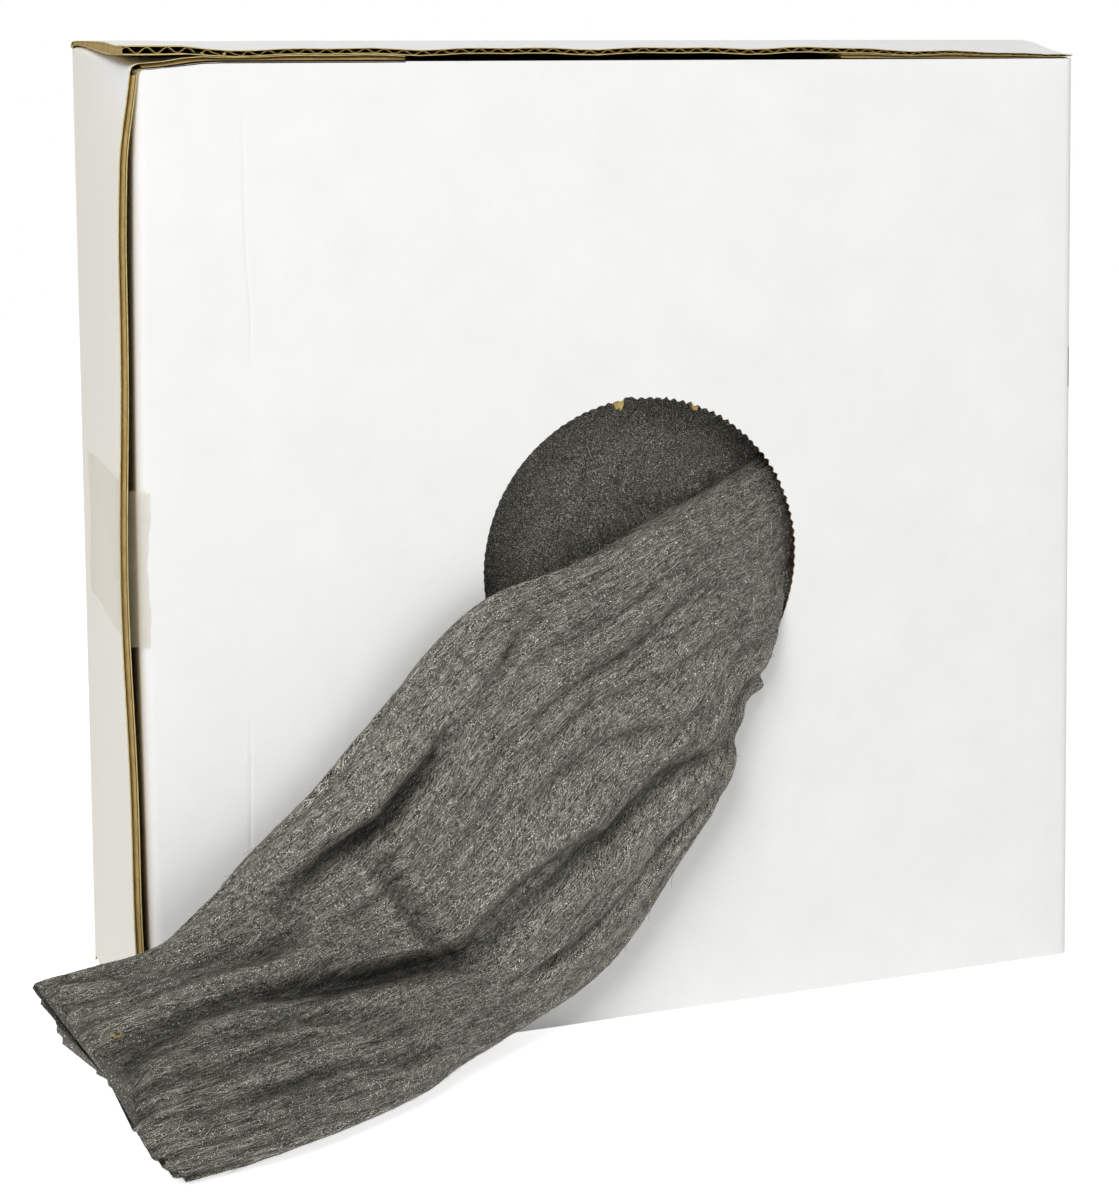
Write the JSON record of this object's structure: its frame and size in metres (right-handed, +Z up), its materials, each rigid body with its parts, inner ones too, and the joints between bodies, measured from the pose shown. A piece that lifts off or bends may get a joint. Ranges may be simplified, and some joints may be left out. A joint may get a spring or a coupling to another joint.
{
  "type": "steel wool roll in dispenser carton",
  "caption": "Upright white board carton holding a wound roll of steel wool, whose free end is pulled out through a round perforated opening in the lid.",
  "frame": {"origin": "centre of the carton's underside, on the surface it stands on", "axes": "+Z up, -Y out of the lid, +X to the right as the lid is seen"},
  "size_m": [0.375, 0.1955, 0.334],
  "materials": {
    "white_board": "matte",
    "steel_wool": "matte",
    "clear_tape": "gloss"
  },
  "bodies": {
    "root": {"carton": "white_board", "steel_wool_roll": "steel_wool", "tape_strip": "clear_tape"}
  },
  "joints": []
}
